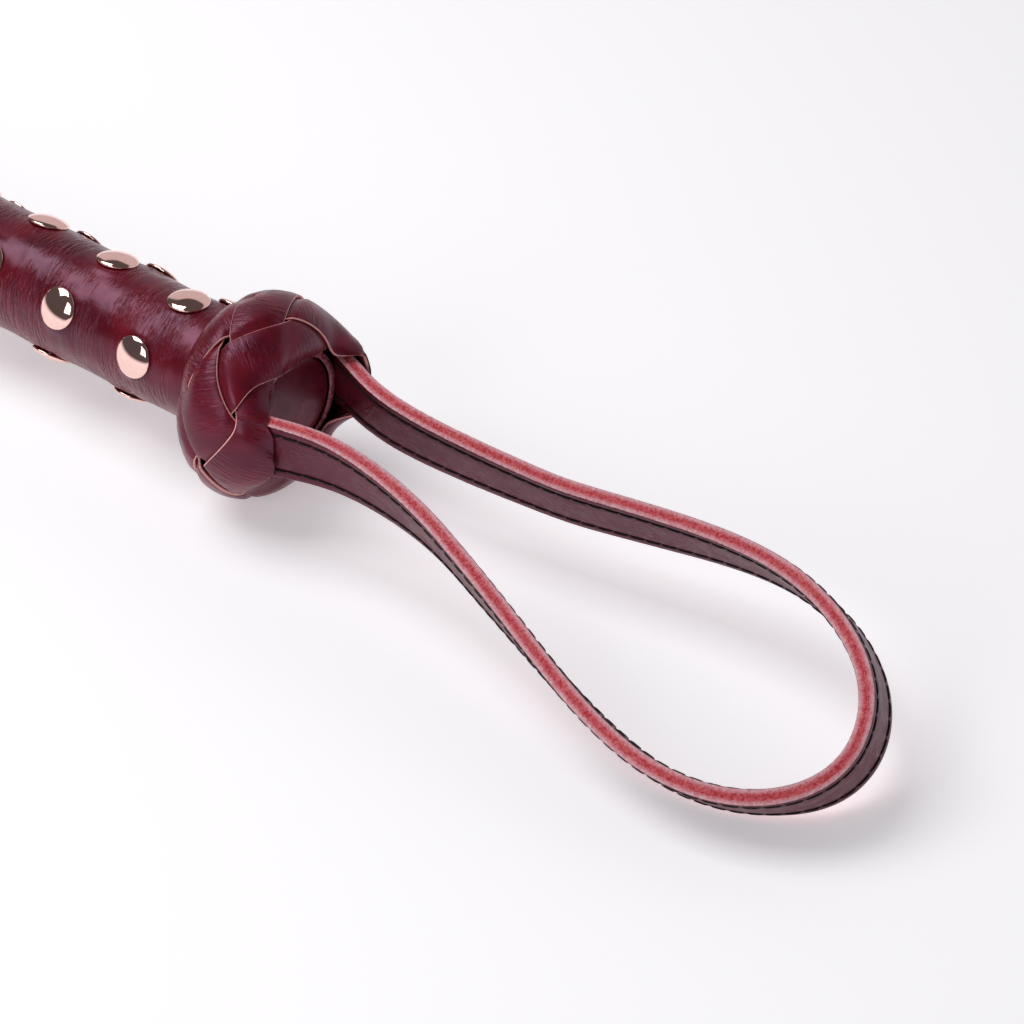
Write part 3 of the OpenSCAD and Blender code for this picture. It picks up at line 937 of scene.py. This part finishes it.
def make_keeper_ply(name, side, node):
    tucked = WRAP_HI[0] - 6
    corner_x = KEEPER_HI[0] - KEEPER_CORNER
    plain = np.arange(tucked, corner_x, 0.9)
    round_end = corner_x + KEEPER_CORNER * np.sin(np.radians(np.linspace(0, 90, 22)))
    xs = np.concatenate([plain, round_end])
    points = []
    # Up the edge: share of the half width, and height above the face between the plies
    around_edge = [(1.0, 0.30), (1.0, 0.8), (0.997, 1.3), (0.985, 1.62)]
    across = [-1, -0.93, -0.75, -0.5, -0.25, 0, 0.25, 0.5, 0.75, 0.93, 1]
    for x in xs:
        half = max(float(keeper_half_width(x)), 0.5)
        # Narrow and pressed thin inside the wrap
        thin = 0.62 if x < WRAP_HI[0] + 1 else 1.0
        if x < WRAP_HI[0] + 4:
            half = min(half, 3.4 + (KEEPER_NECK - 3.4) * float(smooth((x - WRAP_HI[0] + 1) / 5)))
        ring = [(-half * f, h) for f, h in around_edge]
        ring += [(half * 0.97 * f, KEEPER_PLY + 0.1 * (1 - f * f) - 0.05) for f in across]
        ring += [(half * f, h) for f, h in reversed(around_edge)]
        ring += [(half * 0.985 * f, 0.03) for f in (1, 0.5, 0, -0.5, -1)]
        points += [[x, y, side * z * thin] for y, z in ring]
    size = len(ring)
    faces = skin_faces(len(xs), size)
    if side > 0:
        faces = [tuple(reversed(f)) for f in faces]
    obj = mesh_object(name, points, faces, KEEPER_LEATHER, sharp=45)
    bend(obj, KEEPER_BODIES, *KEEPER_BEND, "wine_leather", node)


def keeper_stitch_path():
    """Outline of the keeper's row of stitches in the XY plane, open at the neck."""
    corner_x = KEEPER_HI[0] - KEEPER_CORNER
    r = KEEPER_CORNER - KEEPER_STITCH_INSET
    xs = np.concatenate([np.linspace(KEEPER_PIVOT[0] + 4, corner_x, 140),
                         corner_x + r * np.sin(np.radians(np.linspace(2, 90, 30)))])
    upper = []
    for x in xs:
        if x <= corner_x:
            half = float(keeper_half_width(x)) - KEEPER_STITCH_INSET
        else:
            half = KEEPER_HALF - KEEPER_CORNER + math.sqrt(max(0, r * r - (x - corner_x) ** 2))
        upper.append([x, half])
    upper = np.array(upper)
    lower = upper[::-1] * [1, -1]
    return np.concatenate([upper, lower])


def make_keeper_stitches():
    outline = keeper_stitch_path()
    along = np.concatenate([[0], np.cumsum(np.linalg.norm(np.diff(outline, axis=0), axis=1))])
    paths, ups = [], []
    count = int(along[-1] / STITCH_PITCH)
    for side in (-1, 1):
        for k in range(count):
            s = STITCH_PITCH * k + 0.25 + (STITCH_PITCH - 0.5) * np.linspace(0, 1, 7)
            x = np.interp(s, along, outline[:, 0])
            y = np.interp(s, along, outline[:, 1])
            z = side * (KEEPER_PLY - 0.12 + 0.3 * (1 - np.abs(np.linspace(-1, 1, 7)) ** 4))
            paths.append(np.stack([x, y, z], 1))
            ups.append(np.array([0, 0, side * 1.0]))
    points, faces = thread_run(paths, ups, SEAM_THREAD_R)
    obj = mesh_object("keeper_stitches", points, faces, THREAD, sharp=70)
    bend(obj, KEEPER_BODIES, *KEEPER_BEND, "black_thread", "keeper_thread")


def make_keeper_rivets():
    caps = []
    for step in KEEPER_RIVET_STEPS:
        for side in (-1, 1):
            out = np.array([0, 0, side * 1.0])
            centre = np.array([KEEPER_PIVOT[0] + step, 0, side * (KEEPER_PLY + 0.05)])
            caps.append(rivet_dome(centre, out))
    points, faces = joined(caps)
    obj = mesh_object("keeper_rivet_domes", points, faces, ROSE_GOLD, sharp=50)
    place(obj, "keeper", "rose_gold", "keeper_rivets")


def make_wrap():
    """A band of leather round the shaft and the keeper's neck, lapped on one side."""
    r = WRAP_HI[2]
    lo, hi = WRAP_LO[0], WRAP_HI[0]
    profile = [(lo + 0.3, 4.15), (lo, 4.4), (lo, r - 0.35), (lo + 0.12, r - 0.1), (lo + 0.4, r)]
    for x in np.linspace(lo + 1.5, hi - 1.5, 40):
        profile.append((x, r + 0.06 * math.sin((x - lo) * 0.55)))
    profile += [(hi - 0.4, r), (hi - 0.12, r - 0.1), (hi, r - 0.35), (hi, 4.4), (hi - 0.3, 4.15)]
    points, faces = lathe(profile, 80)
    lap = np.degrees(np.arctan2(points[:, 2], points[:, 1])) + 60
    lift = 0.3 * ((lap > 0) & (lap < 38)) * smooth((38 - lap) / 30)
    radial = np.hypot(points[:, 1], points[:, 2])
    scale = 1 + np.where(radial > 5.2, lift, 0) / np.maximum(radial, 1)
    points[:, 1] *= scale
    points[:, 2] *= scale
    obj = mesh_object("wrap_leather", points, faces, PLAIN_LEATHER, sharp=45)
    place(obj, "crop", "wine_leather", "keeper_wrap")


def make_binding():
    """Whipping: turns of thread wound side by side round the wrap."""
    lo, hi = box_mm("keeper_binding")
    thread_r = 0.55
    ring_r = hi[2] - thread_r
    turns = 8
    steps = 60 * turns
    sides = 10
    points = []
    for i in range(steps + 1):
        share = i / steps
        a = 2 * math.pi * turns * share
        x = lo[0] + thread_r + (hi[0] - lo[0] - 2 * thread_r) * share
        out = np.array([0, math.cos(a), math.sin(a)])
        dive = 0.7 * (1 - smooth(min(share, 1 - share) * turns * 5))
        centre = np.array([x, 0, 0]) + out * (ring_r - dive)
        for k in range(sides):
            b = 2 * math.pi * k / sides
            strand = thread_r * (1 + 0.1 * math.cos(3 * (b - 9 * a)))
            points.append(centre + strand * (math.cos(b) * out + np.array([math.sin(b), 0, 0])))
    faces = skin_faces(steps + 1, sides)
    obj = mesh_object("binding_thread", points, faces, THREAD, sharp=70)
    place(obj, "crop", "black_thread", "keeper_binding")


# ---------------------------------------------------------------- build
make_grip()
make_rivets()
make_butt_plug()
make_knots()
make_ply("strap_outer_leather", 1, "strap_tails_outer", "loop_outer_ply")
make_ply("strap_inner_leather", -1, "strap_tails_inner", "loop_inner_ply")
make_strap_stitches("strap_outer_stitches", 1, "loop_outer_thread")
make_strap_stitches("strap_inner_stitches", -1, "loop_inner_thread")
make_shaft()
make_shaft_stitches()
make_keeper_ply("keeper_top_leather", 1, "keeper_top_ply")
make_keeper_ply("keeper_bottom_leather", -1, "keeper_bottom_ply")
make_keeper_stitches()
make_keeper_rivets()
make_wrap()
make_binding()


# ---------------------------------------------------------------- floor, light and camera
def make_floor():
    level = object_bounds()[0].z - 0.0001
    half = 4.0
    corners = [(x * half, y * half, level) for x, y in ((-1, -1), (1, -1), (1, 1), (-1, 1))]
    s = Shader("floor_white", Roughness=0.6, Specular_IOR_Level=0.2, Emission_Strength=0.36)
    s.surface.inputs["Emission Color"].default_value = (0.97, 0.97, 1, 1)
    s.surface.inputs["Base Color"].default_value = (0.9, 0.9, 0.92, 1)
    obj = mesh_object("floor", np.array(corners) / MM, [(0, 1, 2, 3)], s.material)


def area_light(name, direction, distance, size, power):
    """A soft square light that faces the butt end. Sizes are metres and power is watts."""
    light = bpy.data.lights.new(name, "AREA")
    light.size = size
    light.energy = power
    obj = bpy.data.objects.new(name, light)
    aim = Vector((-0.05, 0, 0))
    obj.location = aim + Vector(direction).normalized() * distance
    obj.rotation_euler = (aim - obj.location).to_track_quat("-Z", "Y").to_euler()
    scene.collection.objects.link(obj)


def make_world():
    """A studio room: a pale wall opposite the camera, dark overhead and on the camera's side."""
    world = bpy.data.worlds.new("studio")
    world.use_nodes = True
    room = Graph(world.node_tree)
    way = room.node("TexCoord").outputs["Generated"]
    parts = room.node("SeparateXYZ", {"Vector": way})
    far_wall = room.ramp(parts.outputs["Z"], 0.62, 0.68, 0.62, 0.09)
    near_wall = room.ramp(parts.outputs["Z"], 0.0, 0.05, 0.8, 0.09)
    share = room.ramp(parts.outputs["Y"], -0.45, -0.35)
    level = room.math("ADD", room.math("MULTIPLY", near_wall, share),
                      room.math("MULTIPLY", far_wall, room.math("SUBTRACT", 1.0, share)))
    background = room.tree.nodes["Background"]
    background.inputs["Color"].default_value = (1.0, 0.91, 0.95, 1)
    room.tree.links.new(level, background.inputs["Strength"])
    scene.world = world


def make_camera():
    """The photo's view, found by matching the render to it. right, up and back are its own axes."""
    right = Vector((-0.7851, -0.6194, 0.0))
    back = Vector((-0.4839, 0.6133, 0.6244))
    up = back.cross(right)
    turn = Matrix((right, up, back)).transposed().to_4x4()
    camera = bpy.data.cameras.new("camera")
    camera.sensor_width = 36
    camera.lens = 124.45
    camera.clip_start = 0.01
    obj = bpy.data.objects.new("camera", camera)
    obj.matrix_world = Matrix.Translation((-0.3901, 0.4236, 0.4317)) @ turn
    scene.collection.objects.link(obj)
    scene.camera = obj


make_floor()
make_world()
area_light("key", (0.5, 0.18, 0.84), 0.9, 0.62, 5.0)
area_light("fill", (0.0, 0.86, 0.5), 0.9, 0.4, 1.5)
make_camera()
scene.view_settings.view_transform = "Standard"
